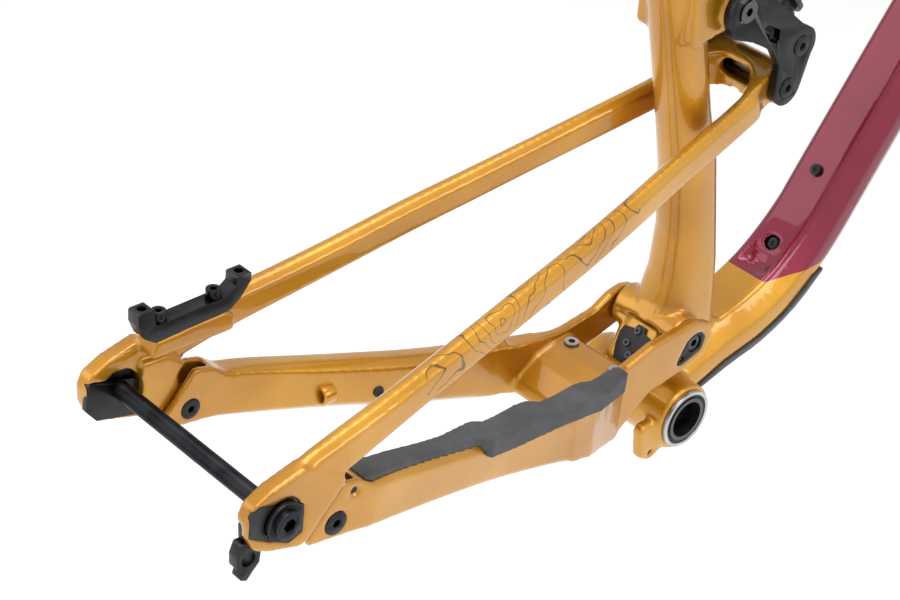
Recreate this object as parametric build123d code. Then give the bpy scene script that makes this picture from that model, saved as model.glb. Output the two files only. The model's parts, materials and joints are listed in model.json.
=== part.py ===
from build123d import *
import os
from math import atan2, cos, hypot, radians, sin, tan

# Full-suspension mountain bike frame. Millimetres; origin at the centre of the bottom bracket,
# +X towards the head tube, +Y to the rider's left, +Z up. The suspension is stored part-way in.

# ---- Driving dimensions ---------------------------------------------------------------------
rear_axle = (-416.3, 132.8)          # side-view places (x, z) of every axle and pivot
main_pivot = (6.3, 59.7)
rear_pivot = (-369.9, 104.4)
rocker_pivot = (6.1, 323.3)
stay_pivot = (63.8, 249.8)
shock_pivot = (71.7, 279.9)
shock_eye = (194.0, 387.9)

hub_width = 148.0                    # between the dropout faces
dropout_outer = 86.0
thru_axle_radius = 6.0
shell_width = 89.0                   # bottom bracket shell, pressed-cup standard
shell_radius = 26.0
cup_radius = 20.5
spindle_bore_radius = 14.5

seat_angle = 74.5
seat_base_x = 65.3                   # where the seat tube's axis crosses the origin's level
seat_top_z = 402.0
seat_tube_radius = 19.0
seat_post_radius = 15.45
head_angle = 65.5
head_bottom = (494.5, 521.5)
head_length = 105.0
upper_seat_radius = 20.9
lower_seat_radius = 26.05
bearing_seat_depth = 8.0
carbon_wall = 3.0

arm_inner = 31.0                     # rocker and swingarm cheeks run from arm_inner to arm_outer
arm_outer = 37.0
swing_outer = 39.0
gap = 0.35                           # clearance between bodies that turn past each other
running = 0.05                       # radial clearance of a running fit
pivot_slack = 4.6                    # free play at the opened stay pivot
eye_slack = 2.6                      # free play at the opened shock pivot

pin_radius = 4.0
bearing_radius = 10.0
bearing_width = 5.0
caliper_spacing = 74.2               # post-mount bolt spacing of the brake

shock_direction = atan2(shock_eye[1] - shock_pivot[1], shock_eye[0] - shock_pivot[0])


# ---- Helpers --------------------------------------------------------------------------------
def along(angle):
    """Unit vector in the side view at this angle above +X."""
    return Vector(cos(radians(angle)), 0, sin(radians(angle)))


def across_bar(place, radius, y_from, y_to):
    """Round bar along Y through a side-view place, between two Y positions."""
    x, z = place
    low, high = min(y_from, y_to), max(y_from, y_to)
    plane = Plane(origin=(x, low, z), x_dir=(1, 0, 0), z_dir=(0, 1, 0))
    return extrude(plane * Circle(radius), high - low)


def across_ring(place, outer, inner, y_from, y_to):
    """Round ring along Y."""
    return across_bar(place, outer, y_from, y_to) - across_bar(place, inner, y_from, y_to)


def rounded_outline(points, corner):
    """Closed outline whose corners are rounded as far as their edges allow."""
    if not corner:
        return Polyline(*points, close=True)
    places = [Vector(*point) for point in points]
    radii = []
    for i, place in enumerate(places):
        before = places[i - 1] - place
        after = places[(i + 1) % len(places)] - place
        room = 0.45 * min(before.length, after.length)
        radii.append(min(corner, room * tan(radians(before.get_angle(after) / 2))))
    return FilletPolyline(*places, radius=radii, close=True)


def side_slab(points, y_from, y_to, corner=0):
    """Side-view outline given thickness between two Y positions, with rounded corners."""
    low, high = min(y_from, y_to), max(y_from, y_to)
    face = make_face(rounded_outline([(x, low, z) for x, z in points], corner))
    return extrude(face, high - low, dir=(0, 1, 0))


def plan_slab(points, z_from, z_to):
    """Plan-view outline given height between two Z levels."""
    outline = Polyline(*[(x, y, 0) for x, y in points], close=True)
    return Pos(0, 0, z_from) * extrude(make_face(outline), z_to - z_from, dir=(0, 0, 1))


def tube_section(centre, angle, width, height, corner):
    """Rounded section across a tube; width lies along Y."""
    plane = Plane(origin=(centre[0], 0, centre[1]), x_dir=(0, 1, 0), z_dir=along(angle))
    return plane * RectangleRounded(width, height, corner)


def tube(stations, shrink=0):
    """Loft through stations (x, z, angle, width, height, corner), drawn in by shrink."""
    sections = []
    for x, z, angle, width, height, corner in stations:
        sections.append(
            tube_section((x, z), angle, width - 2 * shrink, height - 2 * shrink, corner - shrink)
        )
    return loft(sections, ruled=True)


def eased(stations, steps=3):
    """Stations with more filled in along a smooth curve through the given ones."""
    filled = []
    last = len(stations) - 1
    for index in range(last):
        before, start = stations[max(index - 1, 0)], stations[index]
        end, after = stations[index + 1], stations[min(index + 2, last)]
        for step in range(steps):
            t = step / steps
            weights = (
                -t / 2 + t * t - t ** 3 / 2, 1 - 2.5 * t * t + 1.5 * t ** 3,
                t / 2 + 2 * t * t - 1.5 * t ** 3, -t * t / 2 + t ** 3 / 2
            )
            rows = zip(before, start, end, after)
            filled.append(tuple(sum(w * v for w, v in zip(weights, row)) for row in rows))
    return filled + [stations[last]]


def down_section(x, z, angle, size, grow=0):
    """Down tube section: flat narrow top, full sides and a keeled underside."""
    plane = Plane(origin=(x, 0, z), x_dir=(0, 1, 0), z_dir=along(angle))
    outline = [(16, -23), (24, -17), (29, -5), (28, 6), (18, 22), (14, 23)]
    outline += [(-across, up) for across, up in reversed(outline)]
    points = []
    for across, up in outline:
        points.append((across * size * (1 + grow / 29), up * size * (1 + grow / 23)))
    return plane * make_face(Polyline(*points, close=True))


def down_tube(stations, grow=0):
    """Loft through stations (x, z, angle, size), fattened all round by grow."""
    return loft([down_section(*station, grow) for station in eased(stations)], ruled=True)


def facet_section(x, y, z, heading, width, height, cut):
    """Eight-sided section of a stay, upright across its run."""
    plane = Plane(origin=(x, y, z), x_dir=(0, 1, 0), z_dir=heading)
    w, h = width / 2, height / 2
    corners = [(w - cut, -h), (w, cut - h), (w, h - cut), (w - cut, h)]
    corners += [(cut - w, h), (-w, h - cut), (-w, cut - h), (cut - w, -h)]
    return plane * make_face(Polyline(*corners, close=True))


def stay(stations, side):
    """Loft through stations (x, |y|, z, width, height, cut) on one side of the bike."""
    stations = eased(stations, 2)
    places = [Vector(x, side * y, z) for x, y, z, w, h, c in stations]
    sections = []
    for i, (x, y, z, width, height, cut) in enumerate(stations):
        before, after = places[max(i - 1, 0)], places[min(i + 1, len(places) - 1)]
        run = after - before
        heading = Vector(run.X, 0, run.Z)
        sections.append(facet_section(x, side * y, z, heading, width, height, cut))
    return loft(sections, ruled=True)


def both(make):
    """One solid for each side, right then left, as a list."""
    return [make(-1), make(1)]


def axial(start, direction, offset):
    """Plane across a line in the side view, offset along it."""
    origin = Vector(start[0], 0, start[1]) + direction * offset
    return Plane(origin=origin, x_dir=(0, 1, 0), z_dir=direction)


def round_bar(start, direction, radius, low, high):
    """Round bar along a side-view line, from low to high along it."""
    return extrude(axial(start, direction, low) * Circle(radius), high - low)


def hexagon(radius):
    return RegularPolygon(radius, 6)


def socket(place, radius, y_face, depth, side):
    """Hexagonal socket sunk into the outer face of a bolt on one side."""
    x, z = place
    plane = Plane(origin=(x, side * y_face, z), x_dir=(1, 0, 0), z_dir=(0, -side, 0))
    return extrude(plane * hexagon(radius), depth)


parts = {}


# ---- Front triangle -------------------------------------------------------------------------
def seat_x(z):
    return seat_base_x - z / (sin(radians(seat_angle)) / cos(radians(seat_angle)))


seat_up = along(180 - seat_angle)
head_up = along(180 - head_angle)
head_top = (head_bottom[0] + head_up.X * head_length, head_bottom[1] + head_up.Z * head_length)

# Down tube stations: x, z of the section's middle, angle, and its size against the main run's.
down_tube_stations = [
    (12, 6, 14, 0.92),
    (60, 25, 18, 1.0),
    (96, 35, 23, 1.04),
    (128, 50, 34, 1.04),
    (154, 71, 44, 1.02),
    (175, 94.5, 52, 1.0),
    (190.8, 117.6, 55, 1.0),
    (326.9, 311.9, 55, 0.97),
    (430, 459, 55, 0.98),
    (478, 524, 56, 1.05),
]
top_tube_stations = [
    (seat_x(340), 340, 26, 38, 46, 15),
    (80, 392, 26, 42, 38, 15),
    (250, 475, 26, 44, 34, 15),
    (380, 539, 26, 46, 38, 16),
    (462, 580, 26, 48, 50, 18),
]
seat_tube_stations = [
    (16, 44, 98, 44, 84, 19),
    (19, 62, 99, 45, 70, 19),
    (24, 84, 101, 43, 56, 18),
    (25.5, 104, 103, 41, 50, 18),
    (22.5, 140, 105, 39, 44, 18),
    (seat_x(190) + 1, 190, 105.5, 39, 41, 18),
    (seat_x(235), 235, 105.5, 38, 38, 18),
    (seat_x(seat_top_z), seat_top_z, 105.5, 38, 38, 18),
]
shock_lug_outline = [(150, 440), (182, 380), (205, 380), (225, 476), (180, 455)]
foot_outline = [
    (-26, 28), (-30, 38), (-22, 50), (-4, 66), (20, 80), (44, 72), (58, 48), (56, 6), (20, -16),
    (-14, -16)
]


def front_triangle():
    down = down_tube(down_tube_stations)
    top = tube(top_tube_stations)
    seat = tube(seat_tube_stations)
    shell = across_bar((0, 0), shell_radius, -shell_width / 2, shell_width / 2)
    block = side_slab(foot_outline, -16, 16, corner=6)
    block += across_bar(main_pivot, 17, -29.5, 29.5)
    head = round_bar(head_bottom, head_up, 30, 0, 16)
    head += round_bar(head_bottom, head_up, 26.5, 10, head_length - 6)
    head += round_bar(head_bottom, head_up, 25.5, head_length - 12, head_length)
    boss = across_bar(rocker_pivot, 15.5, -arm_inner + gap, arm_inner - gap)
    boss += side_slab(
        [(-32, 300), (8, 308), (12, 338), (-36, 344)], -arm_inner + 5, arm_inner - 5, corner=3
    )
    lug = side_slab(shock_lug_outline, -20, 20)
    lug += across_bar(shock_eye, 15, -20, 20)
    tab = side_slab([(-42, 4), (-38, -24), (-26, -31), (-12, -24), (-14, 6)], -40, -31, corner=5)
    solid = down + top + seat + shell + block + head + boss + lug + tab

    # Sealed inner voids leave a carbon wall.
    down_void = down_tube(down_tube_stations[1:-1], -carbon_wall)
    top_void = tube(top_tube_stations[1:-1], carbon_wall)
    solid = solid - down_void - top_void

    # Seat post bore, open at the top.
    post_bottom = Vector(seat_x(150), 0, 150)
    bore = Plane(origin=post_bottom, x_dir=(0, 1, 0), z_dir=seat_up) * Circle(seat_post_radius)
    solid -= extrude(bore, 320)
    # Steerer passage and its two bearing seats.
    solid -= round_bar(head_bottom, head_up, 18.5, -5, head_length + 5)
    solid -= round_bar(head_bottom, head_up, 40, -40, 0)
    solid -= round_bar(head_bottom, head_up, lower_seat_radius, -5, bearing_seat_depth)
    high = head_length - bearing_seat_depth
    solid -= round_bar(head_bottom, head_up, upper_seat_radius, high, head_length + 5)
    # Bottom bracket, main pivot, rocker pivot and shock bolt bores.
    solid -= across_bar((0, 0), cup_radius, -50, 50)
    solid -= across_bar(main_pivot, 7.5, -50, 50)
    solid -= across_bar(rocker_pivot, 6.0, -50, 50)
    solid -= across_bar(shock_eye, pin_radius, -50, 50)
    # Slot between the shock lug's ears.
    swing = [(168, 356), (222, 356), (214, 408), (174, 408)]
    solid -= side_slab(swing, -12.5, 12.5)
    # Chain-guide hole, bottle bolt holes, cover pocket and hose ports.
    solid -= across_bar(guide_hole, 2.6, -60, -20)
    for place in bottle_bolts:
        start = (place[0], place[1])
        solid -= round_bar(start, along(145), 2.5, -9, 6)
        solid -= round_bar(start, along(145), 5.4, 0, 14)
    solid -= cover_pocket()
    # Turned seat for the clamp at the top of the seat tube.
    low = Plane(origin=(seat_x(385), 0, 385), x_dir=(0, 1, 0), z_dir=seat_up)
    solid -= extrude(low * (Circle(seat_tube_radius + 6) - Circle(seat_tube_radius)), 30)
    for side in (-1, 1):
        solid -= port_pocket(side)
    solid -= clamp_slot()
    return solid


guide_hole = (-26, -24)
bottle_bolts = [(135.3, 78.3), (172.0, 130.7)]


def cover_pocket():
    """Slope behind the seat tube's foot, with the cover's own shallow recess."""
    slope = side_slab([(-50, 42), (-30.7, 31), (-6.5, 61), (-16, 70)], -26, 26)
    return slope + side_slab([(-36, 37), (-29.8, 28.5), (-3.9, 60.6), (-9, 66)], -15, 15, corner=0.4)


def port_pocket(side):
    """Oval hose entry on one side of the down tube's top end."""
    x, z = port_place
    return across_bar((x, z), port_radius, side * 18, side * 40)


def clamp_slot():
    """Slit that lets the seat tube's top close on the post."""
    return Pos(seat_x(seat_top_z) - 20, 0, seat_top_z - 8) * Box(24, 2, 44)


port_place = (436, 462)
port_radius = 6.5
parts["front_triangle"] = front_triangle()


# ---- Seat clamp -----------------------------------------------------------------------------
def seat_clamp():
    low = Plane(origin=(seat_x(386), 0, 386), x_dir=(0, 1, 0), z_dir=seat_up)
    ring = extrude(low * (Circle(seat_tube_radius + 4) - Circle(seat_tube_radius)), 14)
    ears = Pos(seat_x(393) - 24, 0, 391) * Box(13, 18, 13)
    ears -= extrude(low * Circle(seat_tube_radius + 1), 20)
    ring = ring + ears - Pos(seat_x(393) - 24, 0, 391) * Box(20, 2.2, 30)
    return ring - across_bar((seat_x(393) - 26, 391), 2.6, -20, 20)


def clamp_bolt():
    place = (seat_x(393) - 26, 391)
    bolt = across_bar(place, 2.5, -9, 9) + across_bar(place, 4.6, -13.5, -9)
    return bolt - socket(place, 2.3, 13.5, 3, -1) + across_bar(place, 3.8, 9, 12)


parts["seat_clamp"] = seat_clamp()
parts["seat_clamp_bolt"] = clamp_bolt()


# ---- Bottom bracket -------------------------------------------------------------------------
half_shell = shell_width / 2
cup_inner = 18.0


def bb_cup(side):
    flange = across_ring((0, 0), 23, 20.2, side * half_shell, side * (half_shell + 3))
    barrel = across_ring((0, 0), cup_radius, cup_inner, side * 30, side * half_shell)
    lip = across_ring((0, 0), 21, cup_inner, side * half_shell, side * (half_shell + 0.8))
    return flange + barrel + lip


def bb_bearing(side):
    return across_ring((0, 0), cup_inner, 16.4, side * 37, side * 44)


def bb_seal(side):
    return across_ring((0, 0), 20.2, 17.9, side * (half_shell + 0.8), side * (half_shell + 2.4))


def bb_spindle_ring(side):
    race = across_ring((0, 0), 16.0, spindle_bore_radius, side * 36, side * (half_shell + 3.2))
    return race + across_ring(
        (0, 0), 17.5, spindle_bore_radius, side * (half_shell + 0.6), side * (half_shell + 3.2)
    )


for side, hand in ((-1, "right"), (1, "left")):
    parts[f"bb_cup_{hand}"] = bb_cup(side)
parts["bb_bearings"] = both(bb_bearing)
parts["bb_seals"] = both(bb_seal)
parts["bb_spindle_rings"] = both(bb_spindle_ring)
parts["bb_sleeve"] = across_ring((0, 0), 18.6, 17.4, -29.9, 29.9)


# ---- Access cover behind the seat tube's foot -----------------------------------------------
cover_low, cover_high = (-27.5, 35), (-6.5, 61)
cover_run = Vector(cover_high[0] - cover_low[0], 0, cover_high[1] - cover_low[1]).normalized()
cover_out = Vector(-cover_run.Z, 0, cover_run.X)


def cover_place(up, out):
    """Side-view place measured up the cover and outwards from it."""
    x = cover_low[0] + cover_run.X * up + cover_out.X * out
    z = cover_low[1] + cover_run.Z * up + cover_out.Z * out
    return (x, z)


def port_cover():
    """Plate that widens upwards, with a tab at its top."""
    plane = Plane(
        origin=(cover_place(0, -2.2)[0], 0, cover_place(0, -2.2)[1]),
        x_dir=(0, -1, 0), z_dir=cover_out
    )
    half = [(7.5, 0.5), (12, 10), (14.5, 20), (13.5, 25.5), (5, 27), (3.5, 31)]
    outline = Polyline(*half, *[(-across, up) for across, up in reversed(half)], close=True)
    plate = extrude(plane * make_face(outline), 2.2)
    for across, up in cover_screw_places:
        hole = Plane(origin=Vector(cover_place(up, 0)[0], across, cover_place(up, 0)[1]),
                     x_dir=(0, 1, 0), z_dir=cover_out)
        plate -= extrude(hole * Circle(1.6), -4)
    return plate


cover_screw_places = [(-3, 8), (4, 15), (1, 26.5)]


def cover_screws():
    screws = []
    for across, up in cover_screw_places:
        x, z = cover_place(up, 0)
        plane = Plane(origin=Vector(x, across, z), x_dir=(0, 1, 0), z_dir=cover_out)
        head = extrude(plane * Circle(2.8), 1.2) - extrude(
            plane.offset(0.4) * RegularPolygon(1.3, 6), 1
        )
        screws.append(head + extrude(plane * Circle(1.6), -2.2))
    return screws


parts["port_cover"] = port_cover()
parts["port_cover_screws"] = cover_screws()


# ---- Underside guard, bottle bolts, hose entries --------------------------------------------
guard_thickness = 2.4


def down_tube_guard():
    shell = down_tube(down_tube_stations[:5], guard_thickness) - down_tube(down_tube_stations)
    shell -= across_bar((0, 0), shell_radius, -60, 60)
    window = [(27, -40), (36, 3), (59, 16), (94.5, 24), (121.5, 36), (151, 59.5), (190, 66), (150, -40)]
    return shell & side_slab(window, -40, 40)


def bottle_bolt(place):
    head = round_bar(place, along(145), 4.6, 0.01, 2.6)
    dome = Plane(
        origin=Vector(place[0], 0, place[1]) + along(145) * 1.4, x_dir=(0, 1, 0), z_dir=along(145)
    )
    head -= extrude(dome * hexagon(1.7), 3)
    return head + round_bar(place, along(145), 2.45, -8.5, 0.02)


def hose_entry(side):
    ring = across_ring(port_place, port_radius, 3.0, side * 22, side * 26.2)
    return ring


parts["down_tube_guard"] = down_tube_guard()
parts["bottle_bolts"] = [bottle_bolt(place) for place in bottle_bolts]
for side, hand in ((-1, "right"), (1, "left")):
    parts[f"hose_entry_{hand}"] = hose_entry(side)


# ---- Axles held by the front triangle -------------------------------------------------------
def pivot_axle(place, middle_radius, middle_half, journal_radius, end, head_radius=0, head=0):
    """Stepped axle with a socket in each end and an optional wider head."""
    axle = across_bar(place, middle_radius, -middle_half, middle_half)
    axle += across_bar(place, journal_radius, -end, end)
    if head:
        for side in (-1, 1):
            axle += across_bar(place, head_radius, side * end, side * (end + head))
    for side in (-1, 1):
        axle -= socket(place, journal_radius * 0.55, end + head, 3, side)
    return axle


parts["main_pivot_axle"] = pivot_axle(main_pivot, 7.5, 30.6, 6.0, 37.6)
parts["rocker_axle"] = pivot_axle(rocker_pivot, 6.0, 30, 6.0, 36.3, 8.0, 1.6)


def shock_bolt():
    bolt = across_bar(shock_eye, pin_radius, -20, 20)
    bolt += across_bar(shock_eye, 7, -23, -20) + across_bar(shock_eye, 6, 20, 22)
    return bolt - socket(shock_eye, 2.6, 23, 4, -1)


parts["shock_front_bolt"] = shock_bolt()


# ---- Swingarm -------------------------------------------------------------------------------
chain_stations = [
    (-366, 71.75, 110, 18.5, 32, 2.5),
    (-340, 71.4, 103.5, 19, 35, 3),
    (-318, 68.6, 98, 19, 36.5, 4),
    (-280, 63.2, 87.5, 20, 37, 5.5),
    (-240, 57.5, 76.5, 21, 37, 6),
    (-200, 51.5, 65, 21, 39, 6),
    (-150, 47.5, 51, 20, 42, 6),
    (-112, 45.5, 42, 19, 50, 6),
]
cheek_outer = (76.2, 81.0)
cheek_inner = (62.5, 67.5)
tongue = (68.0, 75.7)
clevis_outline = [(-391, 96), (-393, 102), (-366, 133), (-352, 129), (-338, 119), (-338, 88)]
tongue_slot = [(-430, 60), (-430, 150), (-360, 150), (-352, 122), (-352, 84), (-360, 60)]
swing_reach = [(-391, 60), (-393, 102), (-366, 134), (-366, 160), (-90, 160), (-90, -20), (-391, -20)]
front_arm_right = [
    (-135, 70), (-100, 66), (-66, 68), (-40, 76), (6, 79), (22, 72), (26, 60), (20, 46), (6, 40),
    (-36, 34), (-70, 8), (-82, 12), (-135, 27)
]
front_arm_left = [
    (-135, 66), (-100, 60), (-56, 57.5), (-24, 62), (-9, 70.5), (4, 73), (15, 70.5), (21, 62),
    (19, 50), (6, 43), (-36, 32), (-70, 14), (-82, 14), (-135, 27)
]
front_arm_plan = [
    (-135, 57), (-112, 55), (-90, 47), (-66, swing_outer), (30, swing_outer), (30, arm_inner),
    (-66, arm_inner), (-100, 34), (-135, 38)
]
yoke_outline = [(-104, 20), (-100, 32), (-84, 46), (-68, 52), (-50, 53), (-46, 46), (-66, 20)]


def swing_side(side):
    arm = stay(chain_stations, side)
    clevis = side_slab(clevis_outline, side * cheek_inner[0], side * cheek_outer[1], corner=3)
    arm += clevis
    arm -= side_slab(tongue_slot, side * cheek_inner[1], side * cheek_outer[0], corner=4)
    arm &= side_slab(swing_reach, side * 30, side * 95)
    outline = front_arm_right if side < 0 else front_arm_left
    front = side_slab(outline, side * arm_inner, side * 58, corner=5)
    front &= plan_slab([(x, side * y) for x, y in front_arm_plan], -10, 100)
    return arm + front


def chainstay():
    body = swing_side(-1) + swing_side(1)
    body += side_slab(yoke_outline, -arm_inner - 6, arm_inner + 6, corner=4)
    for side in (-1, 1):
        body -= across_bar(main_pivot, bearing_radius, side * 30, side * 36.2)
        body -= across_bar(main_pivot, 6.8, side * 36, side * 42)
        body -= side_slab(cover_recess, side * 37.0, side * 42, corner=6)
        body -= across_bar(rear_pivot, 5.0, side * 60, side * 90)
        body -= across_bar(rear_pivot, 8.2, side * (cheek_outer[1] - 2), side * 90)
        body -= across_bar(rear_pivot, 7.2, side * 60, side * (cheek_inner[0] + 1.5))
        body -= across_bar((-356, 122), 3.5, side * 78, side * 90)
        body -= Pos(*eyelet_place[:1], side * eyelet_place[1], 53) * Cylinder(4.0, 16)
    return body


cover_recess = [(-12, 47), (-2, 65), (11, 69), (18, 62), (15, 51), (-5, 45)]
eyelet_place = (-58, 22)


def main_pivot_cover(side):
    plate = side_slab(cover_recess, side * 37.0, side * 38.6, corner=6)
    plate -= across_bar(main_pivot, 6.8, side * 30, side * 42)
    return plate - across_bar((-6, 51), 2.4, side * 30, side * 42)


def pivot_bearing(place, side, low, outer, inner, width=bearing_width):
    return across_ring(place, outer, inner + running, side * low, side * (low + width))


def rear_pivot_bolt(side):
    low, high = cheek_inner[0], cheek_outer[1]
    bolt = across_bar(rear_pivot, 5.0, side * (low + 1.5), side * (high - 2))
    bolt += across_bar(rear_pivot, 8.2, side * (high - 2), side * (high + 0.2))
    bolt += across_bar(rear_pivot, 7.2, side * (low - 0.2), side * (low + 1.5))
    bolt -= socket(rear_pivot, 3.0, high + 0.2, 3, side)
    hollow = Plane(origin=(rear_pivot[0], side * (low - 0.2), rear_pivot[1]), x_dir=(1, 0, 0),
                   z_dir=(0, side, 0))
    return bolt - extrude(hollow * hexagon(2.6), 3)


def yoke_eyelet(side):
    at = Pos(eyelet_place[0], side * eyelet_place[1], 0)
    sleeve = at * Pos(0, 0, 49) * (Cylinder(4.0, 8) - Cylinder(2.5, 8))
    return sleeve + at * Pos(0, 0, 53.6) * (Cylinder(5.2, 1.2) - Cylinder(2.5, 1.2))


def chainstay_protector():
    """Ribbed rubber guard over the drive-side stay."""
    outline = [
        (-352, 119), (-351, 126), (-340, 127.5), (-326, 123), (-312, 119.5), (-290, 112.5),
        (-258, 103), (-244, 101), (-228, 98.5), (-214, 91), (-198, 88), (-184, 88.5),
        (-170, 86.5), (-156, 79), (-142, 77), (-128, 78), (-114, 76.5), (-100, 72), (-86, 73.5),
        (-74, 72), (-76, 56), (-200, 74), (-236, 85), (-300, 100), (-340, 108)
    ]
    plan = [
        (-354, 79), (-354, 62), (-280, 54), (-200, 42), (-150, 39), (-100, 37), (-72, 36),
        (-72, 47), (-110, 58), (-150, 60), (-200, 65), (-229, 71.5), (-236, 65.2), (-280, 70.5),
        (-340, 79)
    ]
    guard = side_slab(outline, -95, -30)
    guard &= plan_slab([(x, -y) for x, y in plan], 30, 140)
    return guard


parts["chainstay"] = chainstay()
parts["chainstay_protector"] = chainstay_protector() - parts["chainstay"]
parts["main_pivot_covers"] = both(main_pivot_cover)
parts["main_pivot_bearings"] = both(
    lambda side: pivot_bearing(main_pivot, side, 31.2, bearing_radius, 6.0)
)
parts["rear_pivot_bolts"] = both(rear_pivot_bolt)
parts["yoke_eyelets"] = both(yoke_eyelet)


# ---- Seatstays ------------------------------------------------------------------------------
seat_stations = [
    (-418, 79.6, 142, 12, 30, 4),
    (-385, 78.0, 151, 14, 32, 5),
    (-340, 74.5, 161, 15, 28, 5),
    (-300, 70.1, 168.5, 15, 26, 5),
    (-250, 64.8, 178.4, 15, 25, 5),
    (-200, 59.9, 188.8, 15, 25, 5),
    (-150, 54.3, 198.2, 14.5, 25, 5),
    (-100, 47.8, 208.7, 14, 25, 5),
    (-50, 40.5, 219.8, 13, 25, 4.5),
    (0, 33.8, 230.4, 13, 25, 4.5),
    (28, 30.6, 237.6, 13, 25, 4.5),
    (38.5, 29.2, 240.6, 12.6, 25, 4.5),
    (47, 24.2, 243.4, 12, 25, 4.5),
    (62, 24.2, 249, 12.4, 26, 4.5),
]
dropout_outline = [
    (-441, 128), (-442, 141), (-438, 150), (-424, 157), (-400, 163), (-366, 140), (-396, 108),
    (-401, 105), (-426, 113), (-437, 119)
]
hinge_outline = [(-404, 116), (-404, 150), (-384, 148), (-369, 137), (-397, 106)]
eye_radius = 14.5
recess_right = [(-441, 130), (-440, 146), (-434, 150), (-408, 140), (-400, 137), (-400, 116), (-410, 112)]
recess_left = [(-442, 126), (-440, 146), (-406, 137), (-402, 132), (-401, 108), (-434, 116)]


def seatstay_side(side):
    rear = side_slab(dropout_outline, side * hub_width / 2, side * dropout_outer, corner=4)
    rear += side_slab(hinge_outline, side * tongue[0], side * dropout_outer, corner=2)
    nose = side_slab([(-404, 118), (-398, 142), (-376, 134), (-372, 100), (-392, 100)],
                     side * tongue[0], side * tongue[1], corner=2)
    nose += across_bar(rear_pivot, 13.5, side * tongue[0], side * tongue[1])
    return stay(seat_stations, side) + rear + nose


yoke_plan = [
    (59, 29.2), (8, 34.5), (8, 29.5), (26, 27), (36, 23.5), (43.5, 20), (49.5, 14), (52.4, 8.5), (53.6, 0)
]
yoke_side = [(6, 219), (6, 243), (56, 262), (60, 238), (44, 231)]


def yoke_web():
    """Saddle between the two stays, hollowed to pass the seat tube."""
    outline = yoke_plan + [(x, -y) for x, y in reversed(yoke_plan[:-1])]
    return plan_slab(outline, 215, 270) & side_slab(yoke_side, -40, 40)


def brake_boss():
    """Flat-topped land that the brake adapter stands on."""
    land = side_slab([(-404, 158), (-400, 170), (-346, 172), (-340, 168), (-340, 156)], 58.5, 78, 2)
    return land


def seatstay():
    body = seatstay_side(-1) + seatstay_side(1)
    body += across_bar(stay_pivot, eye_radius, -30.4, 30.4)
    body += yoke_web()
    body -= across_bar(stay_pivot, pin_radius + pivot_slack, -40, 40)
    for y in (-7, 7):
        body -= Plane(origin=(30, y, 250), z_dir=(1, 0, 0)) * Cylinder(6.6, 60)
    body -= Pos(45, 0, 250) * Box(34, 14, 13.2)
    for side in (-1, 1):
        low, high = tongue
        body -= across_bar(rear_pivot, 9.5, side * low, side * high)
        body -= across_bar(rear_axle, 14.0, side * 60, side * 90)
    body += brake_boss() - across_bar(rear_axle, 14.0, 60, 90)
    for x, y in adapter_bolt_places:
        body -= Pos(x, y, 173) * Cylinder(3.0, 20)
    body -= side_slab(recess_right, -90, -dropout_outer + 3.2, corner=2)
    body -= side_slab(hanger_pocket, -78.2, -70, corner=2)
    body -= side_slab(recess_left, 70, 78.2, corner=2)
    return body


hanger_pocket = [(-460, 100), (-460, 128), (-438, 138), (-428, 150), (-402, 150), (-399, 130), (-410, 100)]
hanger_plate = [(-439, 118), (-440, 134), (-428, 148), (-403, 149), (-400, 130), (-411, 112)]
hanger_hole = (-437.5, 111)
hanger_tail = [
    (-443, 124), (-446, 116), (-445.5, 107), (-442, 103.5), (-443.5, 98), (-438, 95),
    (-434, 100), (-429, 105), (-428, 114), (-428, 122)
]


def derailleur_hanger():
    body = side_slab(hanger_plate, -78.2, -hub_width / 2, corner=2)
    body += side_slab(hanger_tail, -81.5, -hub_width / 2, corner=2)
    body -= side_slab(dropout_outline, -90, -78.2)
    body += side_slab(hanger_plate, -78.2, -hub_width / 2, corner=2)
    body += across_ring(rear_axle, 13.9, 8.0, -81, -78.2)
    body -= across_bar(rear_axle, 8.0, -90, -70)
    return body - across_bar(hanger_hole, 5.0, -90, -70)


def hanger_bolt():
    bolt = across_bar(rear_axle, 8.0, -84, -hub_width / 2)
    bolt += across_bar(rear_axle, 13.4, -89, -84) + across_bar(rear_axle, 9.5, -92.5, -89)
    bolt -= socket(rear_axle, 4.6, 92.5, 5, -1)
    return bolt - across_bar(rear_axle, thru_axle_radius + running, -87, -70)


def hanger_washer():
    return across_ring(rear_axle, 15.0, 8.0, -84, -81) & across_bar(rear_axle, 13.9, -90, -70)


def dropout_insert_left():
    plate = side_slab(recess_left, hub_width / 2, 78.2, corner=2)
    plate += across_bar(rear_axle, 14.0, 78.2, dropout_outer)
    return plate - across_bar(rear_axle, thru_axle_radius + running, 60, 90)


def dropout_insert_right():
    plate = side_slab(recess_right, -dropout_outer + 0.6, -dropout_outer + 3.2, corner=2)
    return plate - across_bar(rear_axle, 14.0, -90, -70)


def thru_axle():
    axle = across_bar(rear_axle, thru_axle_radius, -86.5, dropout_outer + 1)
    axle += across_bar(rear_axle, 9.5, dropout_outer + 0.05, dropout_outer + 4)
    return axle - socket(rear_axle, 3.5, dropout_outer + 4, 8, 1)


stay_top = 176.5
adapter_y = (59.0, 70.0)
post_half = 6.0
adapter_bolt_places = [(-395.0, 64.5), (-353.0, 64.5)]
post_rear = (-407.6, 194.6)
post_front = (post_rear[0] + caliper_spacing, 194.6)


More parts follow.
